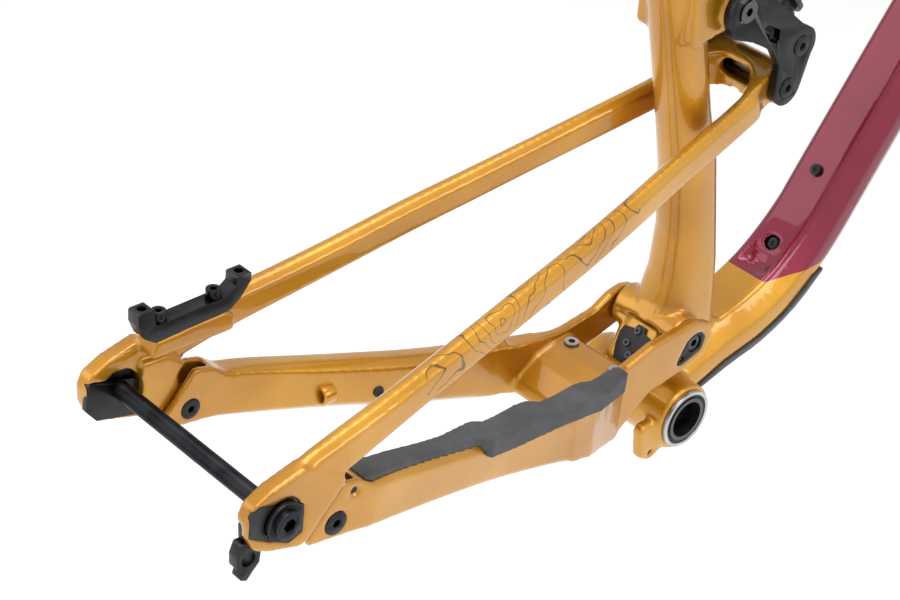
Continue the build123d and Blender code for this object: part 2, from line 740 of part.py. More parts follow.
def brake_adapter():
    low, high = adapter_y
    outline = [
        (post_rear[0] - post_half, 186), (post_rear[0] - post_half, post_rear[1]),
        (post_rear[0] + post_half, post_rear[1]), (post_rear[0] + post_half + 1, 182),
        (post_front[0] - 13, 183), (post_front[0] - post_half, 188),
        (post_front[0] - post_half, post_front[1]), (post_front[0] + post_half, post_front[1]),
        (post_front[0] + post_half, 188), (post_front[0] - 2, 178),
        (post_front[0] - 10, 172), (post_rear[0] + 6, 170), (post_rear[0] - 2, 176)
    ]
    body = side_slab(outline, low, high, corner=1.5)
    for x, z in (post_rear, post_front):
        body -= Pos(x, 64.5, z) * Cylinder(3.0, 40)
    for x, y in adapter_bolt_places:
        body -= Pos(x, y, 182) * Cylinder(3.0, 40)
        body -= Pos(x, y, 190) * Cylinder(5.2, 18.4)
    return body


def adapter_bolt(place):
    x, y = place
    bolt = Pos(x, y, 184.8) * Cylinder(5.0, 8)
    bolt += Pos(x, y, 173) * Cylinder(3.0, 20)
    return bolt - Pos(x, y, 185.5) * extrude(hexagon(2.5), 4)


parts["brake_adapter"] = brake_adapter()
parts["seatstay"] = seatstay() - parts["brake_adapter"]
parts["rear_pivot_bearings"] = both(
    lambda side: pivot_bearing(rear_pivot, side, 68.4, 9.5, 5.0, 7.0)
)
parts["derailleur_hanger"] = derailleur_hanger()
parts["hanger_bolt"] = hanger_bolt()
parts["hanger_washer"] = hanger_washer()
parts["dropout_insert_left"] = dropout_insert_left()
parts["dropout_insert_right"] = dropout_insert_right()
parts["thru_axle"] = thru_axle()
parts["brake_adapter_bolts"] = [adapter_bolt(place) for place in adapter_bolt_places]


# ---- Rocker ---------------------------------------------------------------------------------
rocker_web = [
    (-8, 307), (16, 298), (40, 285), (50, 271), (50.5, 250), (77, 246), (86, 281), (70, 297),
    (16, 339), (-8, 335)
]
rocker_window = [(22, 311), (44, 300), (45, 288), (34, 294)]
rocker_tie = (50, 299)


def rocker_plate(side):
    plate = side_slab(rocker_web, side * arm_inner, side * arm_outer, corner=3)
    plate += across_bar(rocker_pivot, 18, side * arm_inner, side * arm_outer)
    plate += across_bar(shock_pivot, 14.5, side * arm_inner, side * arm_outer)
    plate += across_bar(stay_pivot, 13.5, side * arm_inner, side * arm_outer)
    plate -= side_slab(rocker_window, side * 30, side * 40, corner=2.5)
    plate -= across_bar(rocker_pivot, bearing_radius, side * 30, side * 36.0)
    plate -= across_bar(rocker_pivot, 8.6, side * 36.0, side * 40)
    for place in (shock_pivot, stay_pivot):
        plate -= across_bar(place, pin_radius, side * 30, side * 40)
        plate -= across_bar(place, 7.5, side * (arm_outer - 2), side * 40)
    return plate


def rocker_link():
    tie = across_bar(rocker_tie, 8.5, -arm_inner - 1, arm_inner + 1)
    return rocker_plate(-1) + rocker_plate(1) + tie


def rocker_pin(place):
    return across_bar(place, pin_radius, 2 - arm_outer, arm_outer - 2)


def rocker_bolt(place, side):
    bolt = across_bar(place, 7.5, side * (arm_outer - 2), side * (arm_outer + 0.6))
    return bolt - socket(place, 3.0, arm_outer + 0.6, 2, side)


parts["rocker_link"] = rocker_link()
parts["rocker_bearings"] = both(
    lambda side: pivot_bearing(rocker_pivot, side, 31.0, bearing_radius, 6.0)
)
parts["stay_pin"] = rocker_pin(stay_pivot)
parts["stay_pin_bolts"] = both(lambda side: rocker_bolt(stay_pivot, side))
parts["shock_pin"] = rocker_pin(shock_pivot)
parts["shock_pin_bolts"] = both(lambda side: rocker_bolt(shock_pivot, side))
parts["shock_spacers"] = both(
    lambda side: across_ring(shock_pivot, 8, pin_radius, side * 14.5, side * arm_inner)
)


# ---- Shock ----------------------------------------------------------------------------------
# Distances are measured from the front eye down the shock.
down_shock = Vector(-cos(shock_direction), 0, -sin(shock_direction))
shock_length = hypot(shock_eye[0] - shock_pivot[0], shock_eye[1] - shock_pivot[1])
can_top, can_end, can_radius, can_bore = 26.0, 118.0, 22.0, 20.0
shaft_radius = 12.0
shaft_top = 48.0
foot_top = shock_length - 24.0


def shock_bar(radius, low, high):
    return round_bar(shock_eye, down_shock, radius, low, high)


def shock_head():
    body = shock_bar(21, can_top - 6, can_top + 6) + shock_bar(can_bore, can_top, can_top + 10)
    body += across_bar(shock_eye, 12, -12, 12)
    neck = axial(shock_eye, down_shock, 0) * Rectangle(24, 20)
    body += extrude(neck, 22)
    body -= across_bar(shock_eye, 7.0, -20, 20)
    body -= across_bar(lever_place, 3.0, -30, -13)
    return body - shock_bar(14, can_top + 4, can_top + 12)


def air_can():
    can = shock_bar(can_radius, can_top + 6, can_end) - shock_bar(can_bore, can_top, can_end - 6)
    can -= shock_bar(shaft_radius + 0.35, can_top, can_end + 5)
    can -= shock_bar(can_bore, can_top, can_top + 10)
    return can


lever_reach = 27.0
lever_place = (shock_eye[0] - lever_reach * cos(shock_direction),
               shock_eye[1] - lever_reach * sin(shock_direction))


def shock_lever():
    x, z = lever_place
    pin = across_bar(lever_place, 2.95, -26, -13.2) + across_bar(lever_place, 5.0, -26, -22.6)
    blade = side_slab([(x - 3, z), (x - 1, z - 20), (x + 4, z - 20), (x + 4, z)], -26, -23,
                      corner=1.2)
    return pin + blade


def shock_foot():
    eye = across_bar(shock_pivot, 12.5, -14, 14)
    block = round_bar(shock_pivot, Vector(-down_shock.X, 0, -down_shock.Z), 14, 4, 20)
    block += round_bar(shock_pivot, Vector(-down_shock.X, 0, -down_shock.Z), shaft_radius, 18, 24)
    return eye + block - across_bar(shock_pivot, pin_radius + eye_slack, -20, 20)


def valve():
    out = Vector(-sin(shock_direction), 0, cos(shock_direction))
    base = Vector(shock_eye[0], 0, shock_eye[1]) + down_shock * can_top
    start = (base.X, base.Z)
    cap = round_bar(start, out, 4.2, 21.2, 30)
    return cap & shock_bar(60, can_top - 6, can_top + 6)


parts["shock_head"] = shock_head()
parts["shock_front_bush"] = across_ring(shock_eye, 7.0, pin_radius + 0.05, -12, 12)
parts["shock_air_can"] = air_can()
parts["shock_wiper"] = (shock_bar(18, can_end, can_end + 3)
                        - shock_bar(shaft_radius + 0.1, can_end - 1, can_end + 4))
parts["shock_valve_cap"] = valve()
parts["shock_lever"] = shock_lever()
parts["shock_shaft"] = (shock_bar(shaft_radius, shaft_top, foot_top)
                        - shock_bar(shaft_radius - 2, shaft_top - 1, foot_top - 4))
parts["shock_piston"] = (shock_bar(can_bore - 0.1, shaft_top + 2, shaft_top + 9)
                         - shock_bar(shaft_radius, shaft_top, shaft_top + 10))
parts["shock_o_ring"] = (shock_bar(13.6, can_end + 3.02, can_end + 5)
                         - shock_bar(shaft_radius + running, can_end, can_end + 15))
parts["shock_foot"] = shock_foot()
parts["rebound_knob"] = (shock_bar(15.0, foot_top - 4.5, foot_top - 0.5)
                         - shock_bar(shaft_radius + 0.1, foot_top - 9, foot_top + 2))


# ---- Write every piece ----------------------------------------------------------------------
os.makedirs("parts", exist_ok=True)
for name, shape in parts.items():
    if isinstance(shape, list):
        solids = [solid for piece in shape for solid in piece.solids()]
        shape = Compound(children=solids)
    export_step(shape, f"parts/{name}.step")
print(len(parts), "nodes; shock eye to eye", round(shock_length, 1))
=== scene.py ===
import json
import math
import bmesh
import bpy
from mathutils import Matrix, Vector
from mathutils.bvhtree import BVHTree


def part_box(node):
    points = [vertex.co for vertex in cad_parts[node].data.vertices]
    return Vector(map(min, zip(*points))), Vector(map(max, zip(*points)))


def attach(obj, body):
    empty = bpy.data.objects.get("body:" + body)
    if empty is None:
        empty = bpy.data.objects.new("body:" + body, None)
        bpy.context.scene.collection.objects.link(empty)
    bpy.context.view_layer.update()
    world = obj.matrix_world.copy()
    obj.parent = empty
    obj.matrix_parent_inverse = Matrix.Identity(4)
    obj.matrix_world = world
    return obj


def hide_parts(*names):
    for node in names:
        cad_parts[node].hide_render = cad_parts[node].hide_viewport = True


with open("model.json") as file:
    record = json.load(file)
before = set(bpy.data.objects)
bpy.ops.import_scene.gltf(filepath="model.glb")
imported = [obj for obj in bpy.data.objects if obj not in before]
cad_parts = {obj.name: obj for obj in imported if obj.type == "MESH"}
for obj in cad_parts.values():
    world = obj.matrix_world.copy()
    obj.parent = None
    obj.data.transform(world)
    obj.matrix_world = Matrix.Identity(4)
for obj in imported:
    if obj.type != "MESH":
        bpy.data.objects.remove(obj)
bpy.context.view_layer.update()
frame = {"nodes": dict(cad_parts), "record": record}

bodyOf = {node: body for body, held in frame["record"]["behaviour"]["bodies"].items() for node in held}
print("frame loaded with", len(bodyOf), "nodes")


def linearColour(hexText):
    # sRGB hex to the linear values that a shader wants
    values = [int(hexText[i:i + 2], 16) / 255 for i in (1, 3, 5)]
    return tuple(v / 12.92 if v <= 0.04045 else ((v + 0.055) / 1.055) ** 2.4 for v in values) + (1.0,)


def addNode(tree, kind, settings=None, links=None):
    # one node with its properties, socket values and incoming links
    node = tree.nodes.new(kind)
    for name, value in (settings or {}).items():
        if isinstance(name, str) and hasattr(node, name) and name not in node.inputs:
            setattr(node, name, value)
        else:
            node.inputs[name].default_value = value
    for name, source in (links or {}).items():
        tree.links.new(source, node.inputs[name])
    return node


def startMaterial(name):
    material = bpy.data.materials.new(name)
    material.use_nodes = True
    tree = material.node_tree
    tree.nodes.clear()
    output = addNode(tree, "ShaderNodeOutputMaterial")
    shader = addNode(tree, "ShaderNodeBsdfPrincipled")
    tree.links.new(shader.outputs[0], output.inputs[0])
    place = addNode(tree, "ShaderNodeTexCoord").outputs["Object"]
    return material, tree, shader, place


def colourRamp(tree, source, stops):
    ramp = addNode(tree, "ShaderNodeValToRGB", links={"Fac": source})
    steps = ramp.color_ramp.elements
    while len(steps) < len(stops):
        steps.new(0.5)
    for step, (where, colour) in zip(steps, stops):
        step.position = where
        step.color = colour if isinstance(colour, tuple) else (colour, colour, colour, 1)
    return ramp.outputs["Color"]


def mixColour(tree, factor, first, second, blend="MIX"):
    # sockets 0, 6 and 7 are the colour mode's factor and its two colours
    node = addNode(tree, "ShaderNodeMix", {"data_type": "RGBA", "blend_type": blend})
    for index, value in ((0, factor), (6, first), (7, second)):
        if hasattr(value, "is_linked"):
            tree.links.new(value, node.inputs[index])
        else:
            node.inputs[index].default_value = value
    return node.outputs[2]


def calc(tree, action, *values):
    node = addNode(tree, "ShaderNodeMath", {"operation": action})
    for index, value in enumerate(values):
        if hasattr(value, "is_linked"):
            tree.links.new(value, node.inputs[index])
        else:
            node.inputs[index].default_value = value
    return node.outputs[0]


paint = {
    "mustard": "#CB9019", "mustardDeep": "#B67A0E", "mustardLight": "#DCA63A",
    "raspberry": "#78062A", "raspberryLight": "#951A3B",
    "flake": 1 / 0.0007,  # metallic flakes drawn at 0.7 mm so that they show
    "peel": 1 / 0.006,  # orange peel of the lacquer, 6 mm
    # side view: slope of the down tube, a point on the paint line, and how the line sweeps up the flanks
    "tubeAngle": math.radians(55), "paintLine": (0.1033, 0.0657), "lineSweep": 0.85,
    "sweepFrom": 0.003, "topFacet": 0.0142,
    # raspberry lies in front of this sloping boundary, and everywhere ahead of headX
    "behindSlope": 1.35, "behindRise": 0.03, "headX": 0.40,
}
contour = {
    "colour": "#5E4012", "spacing": 0.0052, "hillSize": 0.045, "lineShare": 0.052, "strength": 0.85,
    "wander": 0.022, "wanderSize": 0.03, "nearFace": -0.036, "span": (-0.300, -0.096),
}


def lacquer(tree, shader, place, colour):
    # flake and orange peel under a clear coat: a soft sparkle below a sharp gloss
    flakes = addNode(tree, "ShaderNodeTexVoronoi", {"Scale": paint["flake"]}, {"Vector": place})
    sparkle = colourRamp(tree, flakes.outputs["Color"], [(0.0, 0.86), (1.0, 1.0)])
    toned = mixColour(tree, 1.0, colour, sparkle, "MULTIPLY")
    tree.links.new(toned, shader.inputs["Base Color"])
    shader.inputs["Metallic"].default_value = 0.8
    shader.inputs["Coat Weight"].default_value = 1.0
    shader.inputs["Coat Roughness"].default_value = 0.05
    handling = addNode(tree, "ShaderNodeTexNoise", {"Scale": 22, "Detail": 4}, {"Vector": place})
    rough = addNode(tree, "ShaderNodeMapRange",
                    {"From Min": 0.35, "From Max": 0.7, "To Min": 0.38, "To Max": 0.5},
                    {"Value": handling.outputs["Fac"]})
    tree.links.new(rough.outputs[0], shader.inputs["Roughness"])
    peel = addNode(tree, "ShaderNodeTexNoise", {"Scale": paint["peel"], "Detail": 1}, {"Vector": place})
    bump = addNode(tree, "ShaderNodeBump", {"Strength": 0.12, "Distance": 0.0002},
                   {"Height": peel.outputs["Fac"]})
    tree.links.new(bump.outputs[0], shader.inputs["Coat Normal"])
    fleck = addNode(tree, "ShaderNodeBump", {"Strength": 0.1, "Distance": 0.0001},
                    {"Height": flakes.outputs["Distance"]})
    tree.links.new(fleck.outputs[0], shader.inputs["Normal"])


def mustardColour(tree, place):
    # candy mustard: pools darker in broad soft clouds, as sprayed coats do
    clouds = addNode(tree, "ShaderNodeTexNoise", {"Scale": 9, "Detail": 3}, {"Vector": place})
    return colourRamp(tree, clouds.outputs["Fac"], [
        (0.3, linearColour(paint["mustardDeep"])), (0.55, linearColour(paint["mustard"])),
        (0.8, linearColour(paint["mustardLight"]))])


def mustardPaint():
    material, tree, shader, place = startMaterial("Mustard lacquer over carbon")
    lacquer(tree, shader, place, mustardColour(tree, place))
    return material


def twoColourPaint():
    # mustard frame whose down tube turns raspberry in front of a slanted paint line
    material, tree, shader, place = startMaterial("Mustard and raspberry lacquer over carbon")
    split = addNode(tree, "ShaderNodeSeparateXYZ", links={"Vector": place})
    x, y, z = split.outputs
    slope, (startX, startZ) = paint["tubeAngle"], paint["paintLine"]
    runX, runZ = calc(tree, "SUBTRACT", x, startX), calc(tree, "SUBTRACT", z, startZ)
    alongTube = calc(tree, "ADD", calc(tree, "MULTIPLY", runX, math.cos(slope)),
                     calc(tree, "MULTIPLY", runZ, math.sin(slope)))
    depth = calc(tree, "SUBTRACT", calc(tree, "MULTIPLY", runX, math.sin(slope)),
                 calc(tree, "MULTIPLY", runZ, math.cos(slope)))
    sweep = calc(tree, "MULTIPLY", paint["lineSweep"],
                 calc(tree, "MAXIMUM", calc(tree, "SUBTRACT", depth, paint["sweepFrom"]), 0))
    flank = calc(tree, "GREATER_THAN", calc(tree, "ABSOLUTE", y), paint["topFacet"])
    sweep = calc(tree, "MULTIPLY", sweep, flank)
    past = calc(tree, "SUBTRACT", alongTube, sweep)
    ahead = calc(tree, "GREATER_THAN", past, 0.0)
    rise = calc(tree, "SUBTRACT", z, calc(tree, "MULTIPLY", x, paint["behindSlope"]))
    below = calc(tree, "LESS_THAN", rise, paint["behindRise"])
    front = calc(tree, "MAXIMUM", below, calc(tree, "GREATER_THAN", x, paint["headX"]))
    mask = calc(tree, "MULTIPLY", ahead, front)
    clouds = addNode(tree, "ShaderNodeTexNoise", {"Scale": 8, "Detail": 3}, {"Vector": place})
    red = colourRamp(tree, clouds.outputs["Fac"], [
        (0.3, linearColour(paint["raspberry"])), (0.85, linearColour(paint["raspberryLight"]))])
    lacquer(tree, shader, place, mixColour(tree, mask, mustardColour(tree, place), red))
    return material


def contourPaint():
    # seatstays: mustard with fine hand-drawn height lines on the near stay's outer face
    material, tree, shader, place = startMaterial("Mustard lacquer with contour lines")
    split = addNode(tree, "ShaderNodeSeparateXYZ", links={"Vector": place})
    x, y, z = split.outputs
    wander = addNode(tree, "ShaderNodeTexNoise", {"Scale": 1 / contour["wanderSize"], "Detail": 2},
                     {"Vector": place})
    bent = mixColour(tree, contour["wander"], place, wander.outputs["Color"])
    hills = addNode(tree, "ShaderNodeTexVoronoi",
                    {"feature": "SMOOTH_F1", "Scale": 1 / contour["hillSize"], "Smoothness": 0.5},
                    {"Vector": bent})
    rings = calc(tree, "MULTIPLY", hills.outputs["Distance"], contour["hillSize"] / contour["spacing"])
    waves = calc(tree, "FRACT", rings)
    fromCrest = calc(tree, "ABSOLUTE", calc(tree, "SUBTRACT", waves, 0.5))
    line = calc(tree, "LESS_THAN", fromCrest, contour["lineShare"])
    near = calc(tree, "LESS_THAN", y, contour["nearFace"])
    rear, front = contour["span"]
    span = calc(tree, "MULTIPLY", calc(tree, "GREATER_THAN", x, rear), calc(tree, "LESS_THAN", x, front))
    mask = calc(tree, "MULTIPLY", calc(tree, "MULTIPLY", line, near), span)
    colour = mixColour(tree, calc(tree, "MULTIPLY", mask, contour["strength"]),
                       mustardColour(tree, place), linearColour(contour["colour"]))
    lacquer(tree, shader, place, colour)
    return material


metals = {
    "anodised": ("#1E1F22", 0.36, 0.035), "oxide": ("#232427", 0.28, 0.02),
    "bearing": ("#A2A4A8", 0.22, 0.02), "aluminium": ("#A4A7AB", 0.24, 0.02),
    "hardAnodised": ("#232427", 0.33, 0.03), "bronze": ("#8C6B3B", 0.40, 0.03),
}


def metal(name, finish, grain=900.0, wearAndEdgeHighlight=0.25, stretch=(1, 1, 1), steel=1.0):
    # fine grain from blasting or turning, broad handling marks, slightly brighter worn spots, and convex
    # edges painted lighter grey as a painted edge highlight
    colour, rough, bumpHeight = metals[finish]
    material, tree, shader, place = startMaterial(name)
    turned = addNode(tree, "ShaderNodeMapping", {"Scale": stretch}, {"Vector": place})
    fine = addNode(tree, "ShaderNodeTexNoise", {"Scale": grain, "Detail": 2}, {"Vector": turned.outputs[0]})
    broad = addNode(tree, "ShaderNodeTexNoise", {"Scale": 60, "Detail": 5}, {"Vector": place})
    marks = addNode(tree, "ShaderNodeMapRange",
                    {"From Min": 0.3, "From Max": 0.75, "To Min": rough * 0.8, "To Max": rough * 1.35},
                    {"Value": broad.outputs["Fac"]})
    tree.links.new(marks.outputs[0], shader.inputs["Roughness"])
    base = linearColour(colour)
    lighter = tuple(min(1, c * 1.7 + 0.012) for c in base[:3]) + (1,)
    tone = colourRamp(tree, broad.outputs["Fac"], [(0.35, base), (0.8, lighter)])
    # convex edges, found by pointiness, are painted lighter grey: a painted edge highlight, not wear
    edge = addNode(tree, "ShaderNodeNewGeometry").outputs["Pointiness"]
    rim = addNode(tree, "ShaderNodeMapRange", {"From Min": 0.52, "From Max": 0.60, "To Max": wearAndEdgeHighlight},
                  {"Value": edge})
    tree.links.new(mixColour(tree, rim.outputs[0], tone, linearColour("#8E8F92")),
                   shader.inputs["Base Color"])
    shader.inputs["Metallic"].default_value = steel
    bump = addNode(tree, "ShaderNodeBump", {"Strength": 0.25, "Distance": bumpHeight / 1000},
                   {"Height": fine.outputs["Fac"]})
    tree.links.new(bump.outputs[0], shader.inputs["Normal"])
    return material


softs = {"rubber": ("#3A3B3D", "#55565A", 0.68), "seal": ("#101011", "#1C1C1E", 0.6),
         "nylon": ("#131314", "#232326", 0.52)}


def moulded(name, finish, texture=1400.0, height=0.00012):
    # spark-textured mould skin with dust in broad patches
    dark, light, rough = softs[finish]
    material, tree, shader, place = startMaterial(name)
    skin = addNode(tree, "ShaderNodeTexNoise", {"Scale": texture, "Detail": 3}, {"Vector": place})
    dust = addNode(tree, "ShaderNodeTexNoise", {"Scale": 35, "Detail": 6, "Roughness": 0.7},
                   {"Vector": place})
    tree.links.new(colourRamp(tree, dust.outputs["Fac"],
                              [(0.35, linearColour(dark)), (0.75, linearColour(light))]),
                   shader.inputs["Base Color"])
    marks = addNode(tree, "ShaderNodeMapRange",
                    {"From Min": 0.3, "From Max": 0.7, "To Min": rough - 0.08, "To Max": rough + 0.12},
                    {"Value": dust.outputs["Fac"]})
    tree.links.new(marks.outputs[0], shader.inputs["Roughness"])
    bump = addNode(tree, "ShaderNodeBump", {"Strength": 0.5, "Distance": height},
                   {"Height": skin.outputs["Fac"]})
    tree.links.new(bump.outputs[0], shader.inputs["Normal"])
    return material


finishes = {
    "mustard": mustardPaint(),
    "twoColour": twoColourPaint(),
    "contour": contourPaint(),
    # the edge value passed to metal sets how strongly convex edges are painted lighter, a painted edge
    # highlight
    "anodised": metal("Satin black anodised aluminium", "anodised", wearAndEdgeHighlight=0.35),
    "axleBlack": metal("Blue-black anodised axle", "anodised", stretch=(1, 0.05, 1)),
    "oxide": metal("Black oxide steel", "oxide", wearAndEdgeHighlight=0.15),
    "bearing": metal("Ground bearing steel", "bearing", stretch=(1, 8, 1)),
    "aluminium": metal("Turned aluminium", "aluminium", stretch=(1, 10, 1)),
    "hardAnodised": metal("Hard anodised aluminium", "hardAnodised"),
    "bronze": metal("Sintered bronze", "bronze"),
    "rubber": moulded("Ribbed guard rubber", "rubber"),
    "seal": moulded("Seal rubber", "seal"),
    "nylon": moulded("Glass-filled nylon", "nylon"),
}
print("materials made:", len(finishes))

finishOfNode = {
    "mustard": ["chainstay"], "twoColour": ["front_triangle"], "contour": ["seatstay"],
    "anodised": ["seat_clamp", "rocker_link", "shock_pin_bolts", "stay_pin_bolts", "main_pivot_axle",
                 "rocker_axle", "main_pivot_covers", "derailleur_hanger", "hanger_bolt", "hanger_washer",
                 "dropout_insert_left", "brake_adapter", "shock_lever", "rebound_knob",
                 "bb_spindle_rings"],
    "axleBlack": ["thru_axle"],
    "oxide": ["seat_clamp_bolt", "port_cover_screws", "bottle_bolts", "shock_front_bolt",
              "rear_pivot_bolts", "brake_adapter_bolts", "stay_pin", "shock_pin"],
    "bearing": ["bb_bearings", "main_pivot_bearings", "rear_pivot_bearings", "rocker_bearings"],
    "aluminium": ["bb_cup_right", "bb_cup_left", "yoke_eyelets", "shock_spacers", "shock_piston"],
    "hardAnodised": ["shock_head", "shock_air_can", "shock_shaft", "shock_foot"],
    "bronze": ["shock_front_bush"],
    "rubber": ["chainstay_protector", "down_tube_guard"],
    "seal": ["bb_seals", "hose_entry_right", "hose_entry_left", "shock_wiper", "shock_o_ring"],
    "nylon": ["port_cover", "bb_sleeve", "shock_valve_cap", "dropout_insert_right"],
}
materialOf = {node: finishes[key] for key, held in finishOfNode.items() for node in held}
for node, holder in frame["nodes"].items():
    holder.data.materials.clear()
    holder.data.materials.append(materialOf[node])
print("CAD nodes painted")


shells = {
    # voxel size in metres, smoothing passes
    "front_triangle": (0.0017, 9),
    "chainstay": (0.0014, 8),
    "seatstay": (0.0014, 10),
    "chainstay_protector": (0.0010, 14),
}
triangleLimit = 180000  # for one moulded piece


def mergedCopy(node, name):
    mesh = frame["nodes"][node].data.copy()
    mesh.name = name
    piece = bpy.data.objects.new(name, mesh)
    bpy.context.scene.collection.objects.link(piece)
    work = bmesh.new()
    work.from_mesh(mesh)
    bmesh.ops.remove_doubles(work, verts=work.verts, dist=0.000002)
    work.to_mesh(mesh)
    work.free()
    return piece


def bake(piece):
    # applies the modifiers and leaves a plain mesh
    done = bpy.data.meshes.new_from_object(piece.evaluated_get(bpy.context.evaluated_depsgraph_get()))
    piece.modifiers.clear()
    piece.data = done
    return piece


def hideFrom(node, piece):
    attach(piece, bodyOf[node])
    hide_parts(node)


def mouldedShell(node, voxel, passes):
    piece = mergedCopy(node, node + "_moulded")
    remesh = piece.modifiers.new("skin", "REMESH")
    remesh.mode = "VOXEL"
    remesh.voxel_size = voxel
    smooth = piece.modifiers.new("soften", "SMOOTH")
    smooth.iterations = passes
    smooth.factor = 0.5
    bake(piece)
    count = len(piece.data.polygons) * 2
    if count > triangleLimit:
        thin = piece.modifiers.new("thin", "DECIMATE")
        thin.ratio = triangleLimit / count
        bake(piece)
    piece.data.materials.clear()
    piece.data.materials.append(materialOf[node])
    piece.data.shade_smooth()
    hideFrom(node, piece)
    print(node, "moulded with", len(piece.data.polygons), "faces")
    return piece


for node, (voxel, passes) in shells.items():
    mouldedShell(node, voxel, passes)


scoop = {
    # moulded pocket below the lower bottle bolt: its start up the tube, deepest place, end, and size
    "bolt": (0.1353, 0.0783), "start": -0.002, "deepest": -0.0205, "end": -0.0275, "reach": 0.02,
    "depth": 0.0070, "halfWidth": 0.0140, "rim": 0.006,
}


def pressScoop(piece):
    slope = paint["tubeAngle"]
    up = Vector((math.cos(slope), 0, math.sin(slope)))
    out = Vector((-math.sin(slope), 0, math.cos(slope)))
    base = Vector((scoop["bolt"][0], 0, scoop["bolt"][1]))
    work = bmesh.new()
    work.from_mesh(piece.data)
    for v in work.verts:
        run = v.co - base
        along, height = run.dot(up), run.dot(out)
        if not (scoop["end"] < along < scoop["start"] and abs(height) < scoop["reach"]):
            continue
        sink = min((scoop["start"] - along) / (scoop["start"] - scoop["deepest"]),
                   (along - scoop["end"]) / (scoop["deepest"] - scoop["end"]))
        side = min(max((scoop["halfWidth"] - abs(v.co.y)) / scoop["rim"], 0), 1)
        v.co -= out * scoop["depth"] * max(sink, 0) * side * side * (3 - 2 * side)
    work.to_mesh(piece.data)
    work.free()


pressScoop(bpy.data.objects["front_triangle_moulded"])
print("scoop pressed in")


flatWithin, edgeAngle, creaseAngle = math.radians(1.5), math.radians(35), math.radians(32)
machined = {
    # bevel width in metres
    "rocker_link": 0.0009, "brake_adapter": 0.0006, "derailleur_hanger": 0.0006,
    "dropout_insert_left": 0.0005, "dropout_insert_right": 0.0004, "shock_head": 0.0007,
    "shock_foot": 0.0006, "seat_clamp": 0.0006, "hanger_bolt": 0.0004, "thru_axle": 0.0004,
    "main_pivot_covers": 0.0003, "down_tube_guard": 0.0006, "port_cover": 0.0004,
    "bb_cup_right": 0.0004, "bb_cup_left": 0.0004,
    "rear_pivot_bolts": 0.0003, "brake_adapter_bolts": 0.0003, "stay_pin_bolts": 0.0003,
    "shock_pin_bolts": 0.0003, "bottle_bolts": 0.0003, "shock_lever": 0.0004, "rebound_knob": 0.0004,
}


def machinedPiece(node, width):
    piece = mergedCopy(node, node + "_machined")
    work = bmesh.new()
    work.from_mesh(piece.data)
    bmesh.ops.dissolve_limit(work, angle_limit=flatWithin, verts=work.verts, edges=work.edges)
    work.to_mesh(piece.data)
    work.free()
    bevel = piece.modifiers.new("edge", "BEVEL")
    bevel.width = width
    bevel.segments = 2
    bevel.limit_method = "ANGLE"
    bevel.angle_limit = edgeAngle
    bake(piece)
    piece.data.materials.clear()
    piece.data.materials.append(materialOf[node])
    piece.data.shade_smooth()
    piece.data.set_sharp_from_angle(angle=creaseAngle)
    hideFrom(node, piece)
    return piece


for node, width in machined.items():
    machinedPiece(node, width)
print("machined edges done")


def touch(node, start, aim):
    # where a straight line first meets a moulded piece, with the surface's direction there
    skin = BVHTree.FromObject(bpy.data.objects[node + "_moulded"], bpy.context.evaluated_depsgraph_get())
    place, normal = skin.ray_cast(Vector(start), Vector(aim))[:2]
    return place, normal


def newPiece(name, work, finish, body):
    # closed bmesh to a shown piece that rides on a body
    bmesh.ops.remove_doubles(work, verts=work.verts, dist=0.000001)
    bmesh.ops.recalc_face_normals(work, faces=work.faces)
    mesh = bpy.data.meshes.new(name)
    work.to_mesh(mesh)
    work.free()
    piece = bpy.data.objects.new(name, mesh)
    bpy.context.scene.collection.objects.link(piece)
    mesh.materials.append(finishes[finish])
    mesh.shade_smooth()
    mesh.set_sharp_from_angle(angle=math.radians(40))
    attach(piece, body)
    return piece


def turned(name, profile, place, normal, finish, body, slotName, steps=48):
    # profile of (radius, height) pairs turned about the surface's direction
    frameAt = Matrix.Translation(place) @ normal.to_track_quat("Z", "Y").to_matrix().to_4x4()
    work = bmesh.new()
    rings = []
    for step in range(steps):
        angle = 2 * math.pi * step / steps
        rings.append([work.verts.new(frameAt @ Vector((r * math.cos(angle), r * math.sin(angle), h)))
                      for r, h in profile])
    for step in range(steps):
        here, there = rings[step], rings[(step + 1) % steps]
        for k in range(len(profile)):
            n = (k + 1) % len(profile)
            work.faces.new((here[k], here[n], there[n], there[k]))
    return newPiece(name, work, finish, body)


plugs = {
    # start of the line that finds the surface, its direction, and the turned profile in metres
    "clevis_port_plug": ((-0.356, -0.2, 0.1215), (0, 1, 0),
                         [(0.0, -0.002), (0.0042, -0.002), (0.0044, 0.0003), (0.0039, 0.0011),
                          (0.0024, 0.0008), (0.0, 0.0007)]),
    "hose_grommet": ((-0.2247, 0.0, 0.0672), (0, 1, 0),
                     [(0.0, -0.003), (0.0036, -0.003), (0.0042, 0.0004), (0.0036, 0.0013),
                      (0.0026, 0.0012), (0.0020, 0.0006), (0.0, 0.0005)]),
}
for name, (start, aim, profile) in plugs.items():
    place, normal = touch("chainstay", start, aim)
    turned(name, profile, place, normal, "seal", "swingarm", "rubber")
print("port plugs pressed in")


guideBoss = {
    # loop for the brake hose on the left stay's inner face
    "start": (-0.2665, 0.0, 0.0790), "length": 0.010, "halfHeight": 0.0072, "stand": 0.0065,
    "wall": 0.0026, "sunk": 0.002, "steps": 16, "edge": 0.0008,
}


